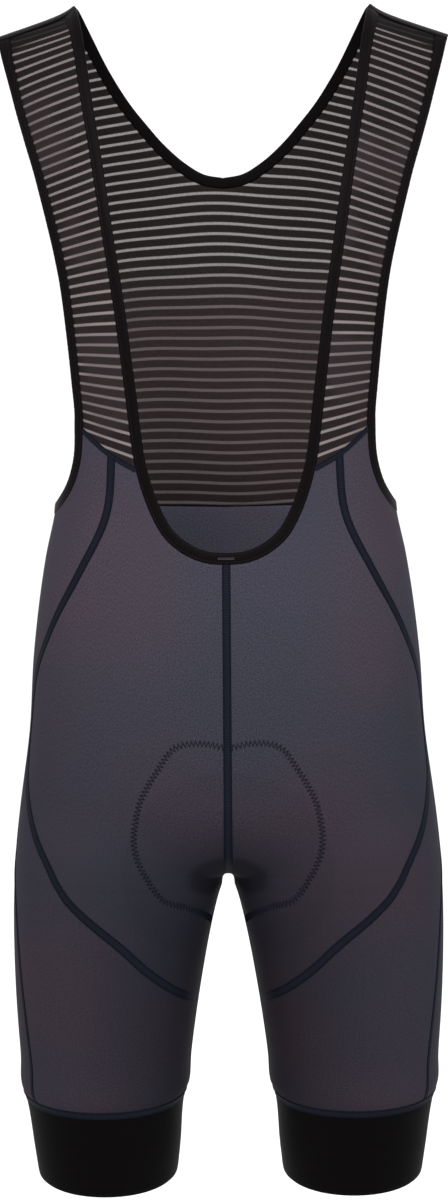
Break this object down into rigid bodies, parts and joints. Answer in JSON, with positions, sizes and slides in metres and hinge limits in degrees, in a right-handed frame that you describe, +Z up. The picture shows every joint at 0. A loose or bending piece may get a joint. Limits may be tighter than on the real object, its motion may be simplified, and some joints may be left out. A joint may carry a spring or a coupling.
{
  "type": "cycling bib shorts",
  "caption": "Stretch cycling bib shorts with sheer striped mesh shoulder straps and snug leg cuffs, filled out as worn: hollow, with the neck, arms and legs open.",
  "frame": {"origin": "middle of the line across the two shoulders, on the ridge where the wearer carries the garment", "axes": "+Z up the wearer's body, the front faces -Y, the wearer's left is +X"},
  "size_m": [0.3658, 0.2184, 0.9642],
  "materials": {
    "lycra_knit": "matte stretch knit with a faint sheen",
    "seat_knit": "matte stretch knit",
    "striped_mesh": "sheer knitted mesh with level stripes",
    "elastic_binding": "matte folded elastic",
    "gripper_elastic": "matte ribbed elastic"
  },
  "bodies": {
    "root": {"front_panel_left": "lycra_knit", "front_panel_right": "lycra_knit", "side_panel_left": "lycra_knit", "side_panel_right": "lycra_knit", "back_panel_left": "seat_knit", "back_panel_right": "seat_knit", "cuff_left": "gripper_elastic", "cuff_right": "gripper_elastic", "front_strap_left": "striped_mesh", "front_strap_right": "striped_mesh", "armhole_binding_left": "elastic_binding", "armhole_binding_right": "elastic_binding", "shoulder_band_left": "elastic_binding", "shoulder_band_right": "elastic_binding", "back_mesh": "striped_mesh", "front_neck_binding": "elastic_binding", "back_neck_binding": "elastic_binding"}
  },
  "joints": []
}
